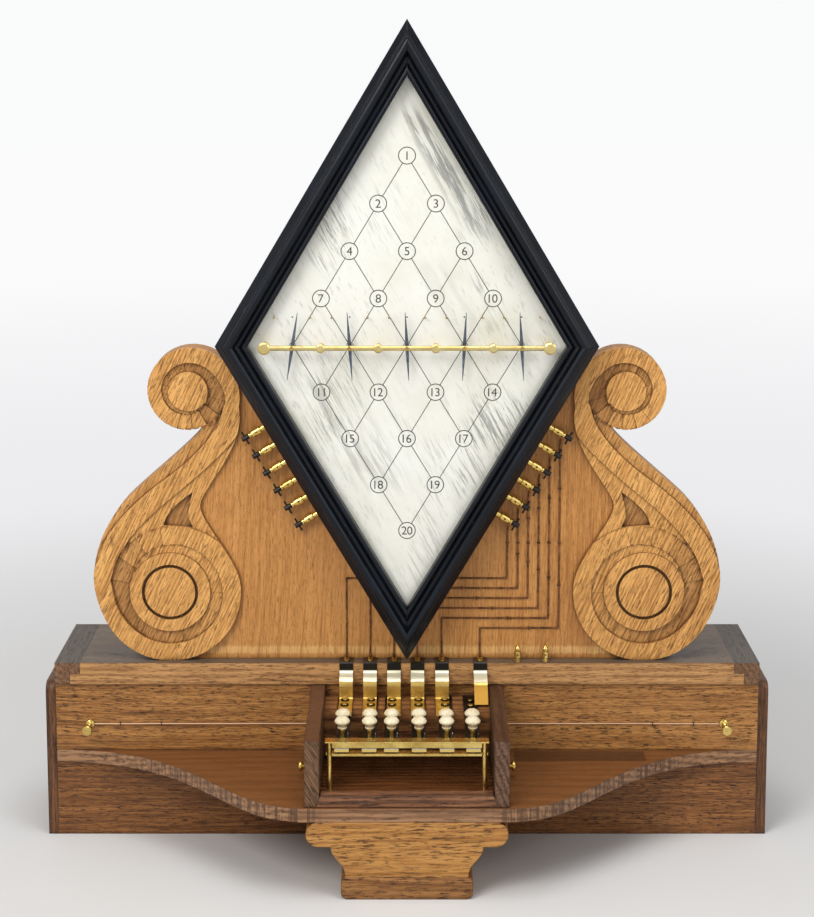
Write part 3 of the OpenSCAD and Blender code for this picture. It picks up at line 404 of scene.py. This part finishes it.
# Black frame
def ebony(name, slope):
    s = Shade(name)
    g = s.turn(s.pos, slope, (0.3, 0.2, 0.1))
    line = s.noise(g, (12, 420, 420), 3, 0.6)
    cloud = s.noise(s.pos, 22, 3, 0.6)
    tone = s.math("ADD", s.math("MULTIPLY", line, 0.5), s.math("MULTIPLY", cloud, 0.5))
    col = s.ramp(tone, [(0.25, lin(3, 6, 10)), (0.55, lin(7, 13, 22)), (0.8, lin(15, 26, 42))])
    soft = s.soft(0.0011)
    chips = s.math("MULTIPLY", s.edges(soft, 0.05, 0.3), s.step(s.noise(s.pos, 130, 4, 0.7), 0.56, 0.66))
    col = s.mix(s.math("MULTIPLY", chips, 0.75), col, lin(118, 84, 58))
    # Thin blue-grey lines along the grain: a painted sheen
    sheen_lines = s.step(s.noise(g, (40, 900, 900), 2, 0.6), 0.63, 0.70)
    sheen_lines = s.math("MULTIPLY", sheen_lines, s.step(cloud, 0.45, 0.65))
    col = s.mix(s.math("MULTIPLY", sheen_lines, 0.2), col, lin(70, 84, 104))
    s.set(Base_Color=col, Roughness=s.step(cloud, 0.3, 0.7, 0.26, 0.42))
    s.set(Coat_Weight=0.05, Coat_Roughness=0.15, Specular_IOR_Level=0.22)
    s.set(Normal=s.bump(s.math("ADD", line, s.math("MULTIPLY", chips, -1.0)), 0.25, 0.0004, soft))
    return s.mat


SLOPE = math.degrees(EDGE)
assign(ebony("ebonised_rise", steep(SLOPE)), "frame_top_left", "frame_bottom_right")
assign(ebony("ebonised_fall", steep(-SLOPE)), "frame_top_right", "frame_bottom_left")


def from_middle(s, x, rise):
    """Distance from the middle of the dial, square to its edges; rise is the height gone up or down."""
    return s.math("ADD", s.math("MULTIPLY", s.math("ABSOLUTE", x), math.sin(EDGE)),
                  s.math("MULTIPLY", rise, math.cos(EDGE)))


# Silvered dial
def silvered():
    s = Shade("silvered_dial")
    x, _, z = s.xyz(s.pos)
    g = s.turn(s.pos, steep(-62), (0.2, 0, 0.4))
    cloud = s.noise(s.pos, 9, 4, 0.6)
    col = s.ramp(cloud, [(0.28, lin(228, 226, 210)), (0.5, lin(242, 241, 231)), (0.75, lin(249, 249, 244))])
    streak = s.step(s.noise(g, (26, 420, 420), 4, 0.75), 0.49, 0.60)
    region = s.step(s.noise(s.vec("ADD", s.pos, (0.31, 0.0, 0.12)), (11, 11, 7), 3, 0.6), 0.48, 0.60)
    side = s.step(s.math("ABSOLUTE", x), 0.01, 0.08, 0.4, 1.0)
    marks = s.step(s.noise(g, (60, 330, 330), 3, 0.7), 0.58, 0.66, 0.0, 0.35)
    scratch = s.math("MULTIPLY", s.math("MAXIMUM", s.math("MULTIPLY", streak, region), marks), side)
    # Two rubbed places: one along the upper right edge, a fainter one along the lower left
    up = s.math("SUBTRACT", z, DIA_Z)
    slant = s.math("ADD", s.math("MULTIPLY", x, math.sin(EDGE)), s.math("MULTIPLY", up, math.cos(EDGE)))
    rubbed = s.step(s.noise(g, (14, 230, 230), 4, 0.75), 0.44, 0.58)
    high = s.math("MULTIPLY", s.between(slant, 0.100, 0.114, 0.124, 0.131),
                  s.between(up, 0.095, 0.12, 0.215, 0.24))
    low = s.math("MULTIPLY", s.between(slant, -0.125, -0.110, -0.075, -0.06),
                 s.between(up, -0.16, -0.12, -0.045, -0.02))
    low = s.math("MULTIPLY", low, 0.5)
    scratch = s.math("MAXIMUM", scratch, s.math("MULTIPLY", rubbed, s.math("ADD", high, low), clamp=True))
    col = s.mix(s.math("MULTIPLY", scratch, 0.72), col, lin(112, 114, 114))
    haze = s.step(s.noise(g, (9, 60, 60), 4, 0.6), 0.52, 0.72, 0.0, 0.25)
    col = s.mix(haze, col, lin(188, 186, 176))
    spots = s.step(s.noise(s.pos, 620, 2, 0.6), 0.70, 0.76)
    spots = s.math("MULTIPLY", spots, s.step(s.noise(s.pos, 30, 2, 0.5), 0.5, 0.62))
    col = s.mix(s.math("MULTIPLY", spots, 0.6), col, lin(96, 92, 84))
    # Grey border just inside the frame
    rim = from_middle(s, x, s.math("ABSOLUTE", up))
    wobble = s.math("MULTIPLY", s.noise(s.pos, 70, 3, 0.6), 0.004)
    col = s.mix(s.step(s.math("ADD", rim, wobble), *DIAL_RIM, 0.0, 0.4), col, lin(176, 174, 160))
    s.set(Base_Color=col, Metallic=0.12)
    brushed = s.noise(s.turn(s.pos, ALONG_X), (18, 1500, 1500), 2, 0.6)
    s.set(Roughness=s.math("ADD", s.step(brushed, 0.3, 0.7, 0.30, 0.44), s.math("MULTIPLY", scratch, 0.2)))
    s.set(Normal=s.bump(s.math("SUBTRACT", brushed, s.math("MULTIPLY", scratch, 1.2)), 0.10, 0.0003))
    return s.mat


assign(silvered(), "dial_plate")


# Metals and ivory
def metal(name, bright, dull, tarnish, rough=(0.16, 0.34), spots=0.4, brushed=(900, 900, 900), bump=0.08,
          masks=(), soft=0.0004):
    """masks: (factor maker, colour, roughness, metallic) laid over the metal in turn."""
    s = Shade(name)
    cloud = s.noise(s.pos, 55, 4, 0.62)
    fine = s.noise(s.pos, brushed, 2, 0.6)
    col = s.ramp(cloud, [(0.3, dull), (0.62, bright)])
    darkening = s.step(s.noise(s.pos, 260, 3, 0.7), 0.56, 0.72, 0.0, spots)
    col = s.mix(darkening, col, tarnish)
    ro = s.math("ADD", s.step(cloud, 0.3, 0.7, rough[1], rough[0]), s.math("MULTIPLY", darkening, 0.3))
    me = 1.0
    for maker, colour, mask_rough, mask_metal in masks:
        f = maker(s)
        col = s.mix(f, col, colour)
        kept = s.math("MULTIPLY", ro, s.math("SUBTRACT", 1.0, f))
        ro = s.math("ADD", kept, s.math("MULTIPLY", f, mask_rough))
        if mask_metal < 1.0:
            me = s.math("SUBTRACT", me, s.math("MULTIPLY", f, 1.0 - mask_metal), clamp=True)
    s.set(Base_Color=col, Metallic=me, Roughness=ro)
    s.set(Normal=s.bump(fine, bump, 0.0002, s.soft(soft)))
    return s.mat


BRASS = (lin(226, 198, 118), lin(188, 156, 82), lin(90, 66, 30))
STEEL = (lin(176, 178, 180), lin(120, 124, 128), lin(60, 54, 48))

assign(metal("brass_polished", *BRASS, spots=0.35), "contact_bars", "coil_bar")
assign(metal("brass_needle_bar", lin(224, 204, 142), lin(196, 172, 108), lin(120, 100, 60),
             rough=(0.24, 0.38), spots=0.3), "needle_bar")
assign(metal("brass_screws", lin(216, 180, 100), lin(150, 116, 58), lin(60, 42, 20), spots=0.6), "screws")
assign(metal("brass_pins", lin(206, 172, 96), lin(140, 112, 60), lin(60, 44, 24), spots=0.5), "dial_pins")


# Terminals end in black thumb-nuts, found by their distance from the middle of the dial
def nut_mask(s):
    x, _, z = s.xyz(s.pos)
    d = from_middle(s, x, s.math("SUBTRACT", DIA_Z, z))
    above_lid = s.step(z, NUT_LOWEST, NUT_LOWEST + 0.005)
    return s.math("MULTIPLY", s.step(d, NUT_START, NUT_START + 0.0004), above_lid)


assign(metal("brass_posts", *BRASS, spots=0.5, masks=[(nut_mask, lin(30, 26, 22), 0.35, 0.4)]), "brass_posts")


# Strips: near black where they turn down over the lid's edge, which is painted shade and dark reflection; a
# painted white highlight band where they bend below that; bright brass further down; and the sixth's loose
# end duller
# Painted shade and dark reflection on the face that turns down over the lid's edge
def strip_painted_dark(s):
    z = s.xyz(s.pos)[2]
    return s.between(z, STRIP_BEND, STRIP_BEND + 0.0006, STRIP_TOP, STRIP_TOP + 0.0004)


def strip_loose(s):
    x, _, z = s.xyz(s.pos)
    sixth = s.step(x, key_x(5) - 0.012, key_x(5) - 0.0119)
    return s.math("MULTIPLY", sixth, s.step(z, STRIP_LOOSE, STRIP_LOOSE + 0.002, 1.0, 0.0))


# Painted highlight: a white band where the strip bends forward under the light
def strip_painted_highlight(s):
    z = s.xyz(s.pos)[2]
    wander = s.math("MULTIPLY", s.noise(s.pos, (60, 60, 20), 2, 0.5), 0.003)
    low = s.math("ADD", z, wander)
    glint = s.step(low, STRIP_LOW, STRIP_LOW + 0.001, 0.0, 0.85)
    return s.math("MULTIPLY", glint, s.step(z, STRIP_BEND, STRIP_BEND + 0.0006, 1.0, 0.0))


assign(metal("brass_strips", lin(236, 204, 122), lin(206, 168, 88), lin(110, 78, 34), spots=0.3,
             rough=(0.24, 0.36), brushed=(2400, 60, 60), bump=0.05, soft=0.0002,
             masks=[(strip_loose, lin(150, 112, 48), 0.42, 1.0),
                    (strip_painted_highlight, lin(255, 250, 222), 0.3, 0.35),
                    (strip_painted_dark, lin(22, 18, 13), 0.3, 0.3)]),
       "connecting_strips")


# Keys: blackened spring steel, a brass contact block in front, bright hairpins above
def key_brass(s):
    _, y, z = s.xyz(s.pos)
    under = s.step(z, KEY_UNDER - 0.00002, KEY_UNDER + 0.00001, 1.0, 0.0)
    return s.math("MULTIPLY", under, s.step(y, KEY_BLOCK_Y - 0.0001, KEY_BLOCK_Y + 0.0001, 1.0, 0.0))


def key_pin(s):
    _, y, z = s.xyz(s.pos)
    p = s.math("SUBTRACT", FACE_Y, y)
    fall = s.math("MULTIPLY", s.math("SUBTRACT", p, KEY_BEND_P), KEY_SLOPE)
    surface = s.math("SUBTRACT", KEY_TOP, fall)
    return s.step(s.math("SUBTRACT", z, surface), 0.00025, 0.0004)


def spring(name, masks=()):
    return metal(name, lin(66, 66, 68), lin(34, 33, 34), lin(52, 36, 24), rough=(0.26, 0.42), spots=0.5,
                 brushed=(900, 40, 900), bump=0.1, masks=masks)


assign(spring("spring_key", [(key_brass, BRASS[0], 0.22, 1.0), (key_pin, STEEL[0], 0.25, 1.0)]),
       *["key_%d" % (i + 1) for i in range(6)])
assign(spring("spring_root"), "key_roots")


def blued(name):
    s = Shade(name)
    c = s.noise(s.pos, 180, 3, 0.6)
    col = s.ramp(c, [(0.3, lin(62, 67, 78)), (0.6, lin(98, 106, 122)), (0.8, lin(142, 150, 166))])
    s.set(Base_Color=col, Metallic=0.7, Roughness=s.step(c, 0.3, 0.7, 0.3, 0.45))
    s.set(Normal=s.bump(s.noise(s.pos, (1400, 1400, 60), 2, 0.6), 0.1, 0.0001, s.soft(0.0002)))
    return s.mat


assign(blued("blued_steel"), *["needle_%d" % (i + 1) for i in range(5)])


def button_mat(name):
    """Ivory above the brass neck, by height on the stem."""
    s = Shade(name)
    f = s.step(s.xyz(s.pos)[2], BUTTON_SPLIT - 0.0001, BUTTON_SPLIT + 0.0001)
    lines = s.noise(s.pos, (900, 320, 120), 3, 0.6)
    cloud = s.noise(s.pos, 120, 3, 0.6)
    tone = s.math("ADD", s.math("MULTIPLY", lines, 0.4), s.math("MULTIPLY", cloud, 0.6))
    ivory = s.ramp(tone, [(0.25, lin(196, 172, 122)), (0.5, lin(226, 212, 178)), (0.75, lin(243, 236, 216))])
    # Grime and painted shade darken the ivory where the cap's underside and the stem close in
    grub_and_shade = s.step(s.hollow(0.005), 0.16, 0.6, 0.0, 0.75)
    ivory = s.mix(grub_and_shade, ivory, lin(150, 112, 66))
    brass = s.ramp(cloud, [(0.3, BRASS[1]), (0.62, BRASS[0])])
    s.set(Base_Color=s.mix(f, brass, ivory), Metallic=s.math("SUBTRACT", 1.0, f),
          Roughness=s.math("ADD", 0.22, s.math("MULTIPLY", lines, 0.12)))
    s.set(Normal=s.bump(lines, 0.06, 0.0002, s.soft(0.0003)))
    return s.mat


BUTTONS = ["button_%s_%d" % (row, i + 1) for row in ("front", "rear") for i in range(6)]
assign(button_mat("ivory_button"), *BUTTONS)


def copper(name, bright, dark, wrap=0.0, lit=0.0):
    """Wire; lit is the height below which it is painted bright, standing for light falling on the low front
    run.
    """
    s = Shade(name)
    c = s.noise(s.pos, 160, 3, 0.65)
    col = s.ramp(c, [(0.3, dark), (0.65, bright)])
    if wrap:
        z = s.xyz(s.pos)[2]
        turns = s.math("SINE", s.math("MULTIPLY", z, 2 * math.pi / wrap))
        col = s.mix(s.step(turns, -1.0, 0.2, 0.7, 0.0), col, lin(20, 12, 8))
        s.set(Normal=s.bump(turns, 0.8, 0.0002))
    else:
        s.set(Normal=s.bump(c, 0.3, 0.0002))
    # Painted light: the low front wire is painted brighter
    if lit:
        col = s.mix(s.step(s.xyz(s.pos)[2], lit, lit + 0.002, 0.8, 0.0), col, lin(232, 190, 150))
    s.set(Base_Color=col, Metallic=0.55, Roughness=s.step(c, 0.3, 0.7, 0.5, 0.36))
    return s.mat


assign(copper("copper_wire", lin(150, 98, 58), lin(58, 32, 18), lit=WIRE_LIT_BELOW), "wires")
assign(copper("staple_wire", lin(96, 62, 38), lin(38, 24, 16)), "staples")
assign(copper("winding", lin(128, 66, 36), lin(70, 34, 18), wrap=0.0009), "coils")


# Mesh helpers
def piece(name, bm, mat, body="desk", smooth=False):
    me = bpy.data.meshes.new(name)
    bm.normal_update()
    bm.to_mesh(me)
    bm.free()
    if smooth:
        for p in me.polygons:
            p.use_smooth = True
    ob = bpy.data.objects.new(name, me)
    bpy.context.collection.objects.link(ob)
    me.materials.append(mat)
    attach(ob, body)
    return ob


def lathe(bm, profile, origin, axis, seg=24):
    """A turned form: profile as (radius, height) along axis from origin."""
    axis = axis.normalized()
    side = axis.orthogonal().normalized()
    other = axis.cross(side)
    rows = []
    for r, h in profile:
        rows.append([bm.verts.new(origin + axis * h + (side * math.cos(a) + other * math.sin(a)) * r)
                     for a in (2 * math.pi * k / seg for k in range(seg))])
    for a, b in zip(rows, rows[1:]):
        for k in range(seg):
            bm.faces.new((a[k], a[(k + 1) % seg], b[(k + 1) % seg], b[k]))
    for row, flip in ((rows[0], True), (rows[-1], False)):
        if (row[0].co - row[1].co).length > 1e-7:
            bm.faces.new(list(reversed(row)) if flip else row)


def stroke(bm, a, b, width, y):
    """A flat engraved line on the dial from a to b, given as (x, z)."""
    a, b = Vector(a), Vector(b)
    d = (b - a).normalized()
    n = Vector((-d.y, d.x)) * width / 2
    vs = [bm.verts.new((p.x, y, p.y)) for p in (a + n, a - n, b - n, b + n)]
    bm.faces.new(vs)


def ring(bm, c, r, width, y, seg=48):
    """A flat engraved circle on the dial, round c given as (x, z)."""
    inner, outer = [], []
    for k in range(seg):
        a = 2 * math.pi * k / seg
        u = Vector((math.cos(a), math.sin(a)))
        for row, rr in ((inner, r - width / 2), (outer, r + width / 2)):
            row.append(bm.verts.new((c[0] + u.x * rr, y, c[1] + u.y * rr)))
    for k in range(seg):
        j = (k + 1) % seg
        bm.faces.new((inner[k], inner[j], outer[j], outer[k]))


# Dial engraving
def ink():
    s = Shade("dial_ink")
    c = s.noise(s.pos, 160, 4, 0.7)
    col = s.ramp(c, [(0.32, lin(26, 26, 26)), (0.60, lin(46, 45, 42)), (0.76, lin(120, 118, 108))])
    s.set(Base_Color=col, Roughness=s.step(c, 0.3, 0.7, 0.5, 0.7))
    s.set(Normal=s.bump(c, 0.2, 0.0001))
    return s.mat


INK = ink()
DIAL_Y = FACE_Y - DIAL_P
MARK_Y = DIAL_Y - 0.00005
ROW = 0.0459
CIRCLE_R = 0.0081
PIVOT_GAP = 0.0024
PIVOT_RING_R = 0.0031


def lattice(k, j):
    """Place of lattice point j in row k; row 0 is the row of pivots."""
    n = 5 - abs(k)
    return Vector(((j - (n - 1) / 2) * NEEDLE_PITCH, DIA_Z + k * ROW))


bm = bmesh.new()
places = []
for sign in (1, -1):
    for k in range(1, 5):
        for j in range(5 - k):
            c = lattice(sign * k, j)
            places.append(c)
            ring(bm, c, CIRCLE_R, 0.0009, MARK_Y)
            for m in (j, j + 1):
                o = lattice(sign * (k - 1), m)
                d = (o - c).normalized()
                end = o - d * (CIRCLE_R if k > 1 else PIVOT_GAP)
                stroke(bm, c + d * CIRCLE_R, end, 0.00075, MARK_Y)
for i in range(5):
    c = lattice(0, i)
    ring(bm, c, PIVOT_RING_R, 0.0005, MARK_Y, 32)
    ring(bm, (c.x, c.y + STOP_PIN_RISE), 0.0004, 0.0008, MARK_Y, 16)
piece("dial_lattice", bm, INK)

# Plain numbers, in reading order
places.sort(key=lambda c: (-round(c.y, 4), c.x))
bm = bmesh.new()
for n, c in enumerate(places):
    cu = bpy.data.curves.new("number", "FONT")
    cu.body = str(n + 1)
    cu.size = 0.0118
    cu.align_x = "CENTER"
    cu.align_y = "CENTER"
    cu.space_character = 0.92
    ob = bpy.data.objects.new("number", cu)
    bpy.context.collection.objects.link(ob)
    dg = bpy.context.evaluated_depsgraph_get()
    me = bpy.data.meshes.new_from_object(ob.evaluated_get(dg))
    xs = [v.co.x for v in me.vertices]
    ys = [v.co.y for v in me.vertices]
    mid = Vector(((min(xs) + max(xs)) / 2, (min(ys) + max(ys)) / 2, 0))
    stand = Matrix.Translation((c.x, MARK_Y, c.y)) @ Matrix.Rotation(math.radians(90), 4, "X")
    me.transform(stand @ Matrix.Translation(-mid))
    bm.from_mesh(me)
    bpy.data.objects.remove(ob)
    bpy.data.curves.remove(cu)
    bpy.data.meshes.remove(me)
piece("dial_numbers", bm, INK)

# Black rings round the key screws; the first five keys have a strip's end under their screws
WASHER = metal("blackened_washer", lin(46, 44, 42), lin(20, 19, 18), lin(70, 46, 26), rough=(0.3, 0.4))
WASHER_PROFILE = [(0.0029, 0.0001), (0.0041, 0.0001), (0.0043, 0.0004), (0.0041, 0.0008), (0.0032, 0.0009),
                  (0.0029, 0.0006)]
STRIP_THICK = 0.0009
bm = bmesh.new()
for i in range(6):
    for p in KEY_SCREWS_P:
        z = KEY_TOP + (STRIP_THICK if i < 5 else 0.0)
        lathe(bm, WASHER_PROFILE, at(key_x(i), p, z), Vector((0, 0, 1)), 28)
piece("key_washers", bm, WASHER, smooth=True)

# Round-headed screws in the back of the case, placed from the middle of the dial
SCREW_PLACES = [(0, 0.24), (0, -0.165), (0.1, 0.06), (-0.1, 0.06), (0.068, -0.1), (-0.068, -0.1)]
SCREW_PROFILE = [(0.0040, 0.0), (0.0040, 0.0003), (0.0034, 0.0008), (0.0018, 0.0011), (0.0, 0.0012)]
bm = bmesh.new()
for x, z in SCREW_PLACES:
    lathe(bm, SCREW_PROFILE, Vector((x, CASE_BACK_Y + 0.0001, DIA_Z + z)), Vector((0, 1, 0)), 24)
OLD_BRASS = metal("brass_old", lin(176, 146, 84), lin(120, 92, 46), lin(50, 36, 20), spots=0.6)
piece("case_screws", bm, OLD_BRASS, smooth=True)


# Room
def floor_material():
    s = Shade("studio_floor")
    x, y, _ = s.xyz(s.pos)
    c = s.noise(s.pos, 1.3, 3, 0.5)
    col = s.ramp(c, [(0.3, lin(207, 206, 205)), (0.7, lin(214, 213, 212))])
    s.set(Base_Color=col, Roughness=s.step(c, 0.3, 0.7, 0.8, 0.9))
    away = s.math("SQRT", s.math("ADD", s.math("MULTIPLY", x, x), s.math("MULTIPLY", y, y)))
    lp = s.add("ShaderNodeLightPath")
    seen = s.math("MAXIMUM", lp.outputs["Is Camera Ray"],
                  s.math("MAXIMUM", lp.outputs["Is Glossy Ray"], lp.outputs["Is Transmission Ray"]))
    em = s.add("ShaderNodeEmission")
    far = s.step(away, 0.5, 5.0)
    s.put(em.inputs[0], s.ramp(far, [(0.0, lin(233, 233, 235)), (1.0, lin(251, 251, 252))]))
    em.inputs[1].default_value = 1.0
    mx = s.add("ShaderNodeMixShader")
    s.put(mx.inputs[0], s.math("MULTIPLY", seen, s.step(away, 0.45, 1.5)))
    s.nt.links.new(s.bsdf.outputs[0], mx.inputs[1])
    s.nt.links.new(em.outputs[0], mx.inputs[2])
    out = [n for n in s.nt.nodes if n.type == "OUTPUT_MATERIAL"][0]
    s.nt.links.new(mx.outputs[0], out.inputs[0])
    return s.mat


FLOOR_RADIUS = 12.0
bm = bmesh.new()
bm.faces.new([bm.verts.new((FLOOR_RADIUS * math.cos(a), FLOOR_RADIUS * math.sin(a), 0.0))
              for a in (2 * math.pi * k / 64 for k in range(64))])
me = bpy.data.meshes.new("studio_floor")
bm.normal_update()
bm.to_mesh(me)
bm.free()
floor = bpy.data.objects.new("studio_floor", me)
bpy.context.collection.objects.link(floor)
me.materials.append(floor_material())


def lamp(name, loc, aim, size, watts, colour=(1, 1, 1)):
    d = bpy.data.lights.new(name, "AREA")
    d.shape = "SQUARE"
    d.size = size
    d.energy = watts
    d.color = colour
    o = bpy.data.objects.new(name, d)
    o.location = loc
    o.rotation_euler = (Vector(aim) - Vector(loc)).to_track_quat("-Z", "Y").to_euler()
    bpy.context.collection.objects.link(o)


lamp("soft_left", (-1.5, -1.9, 2.1), (0, 0, 0.35), 1.3, 46, (1.0, 0.985, 0.96))
lamp("soft_right", (1.9, -1.6, 1.5), (0, 0, 0.4), 1.4, 16, (0.97, 0.985, 1.0))
lamp("soft_top", (0.1, -0.55, 2.5), (0, 0.0, 0.3), 1.5, 26)

world = bpy.data.worlds.new("world")
bpy.context.scene.world = world
world.use_nodes = True
wn = world.node_tree
wn.nodes.clear()
tc = wn.nodes.new("ShaderNodeTexCoord")
sep = wn.nodes.new("ShaderNodeSeparateXYZ")
wn.links.new(tc.outputs["Generated"], sep.inputs[0])


def sky(strength, stops):
    """A background whose grey changes with height above the horizon."""
    ramp = wn.nodes.new("ShaderNodeValToRGB")
    wn.links.new(sep.outputs[2], ramp.inputs[0])
    el = ramp.color_ramp.elements
    while len(el) < len(stops):
        el.new(0.5)
    for e, (place, grey) in zip(el, stops):
        e.position = place
        e.color = (grey * 0.99, grey * 0.995, grey, 1)
    bg = wn.nodes.new("ShaderNodeBackground")
    wn.links.new(ramp.outputs[0], bg.inputs[0])
    bg.inputs[1].default_value = strength
    return bg.outputs[0]


lp = wn.nodes.new("ShaderNodeLightPath")
seen = lp.outputs["Is Camera Ray"]
for kind in ("Is Glossy Ray", "Is Transmission Ray"):
    m = wn.nodes.new("ShaderNodeMath")
    m.operation = "MAXIMUM"
    wn.links.new(seen, m.inputs[0])
    wn.links.new(lp.outputs[kind], m.inputs[1])
    seen = m.outputs[0]
mx = wn.nodes.new("ShaderNodeMixShader")
wn.links.new(seen, mx.inputs[0])
wn.links.new(sky(0.5, [(0.0, 0.36), (0.7, 0.96)]), mx.inputs[1])
wn.links.new(sky(1.0, [(0.0, 0.965), (0.22, 0.965), (0.5, 0.40), (1.0, 0.55)]), mx.inputs[2])
out = wn.nodes.new("ShaderNodeOutputWorld")
wn.links.new(mx.outputs[0], out.inputs[0])

bpy.context.scene.view_settings.view_transform = "Standard"
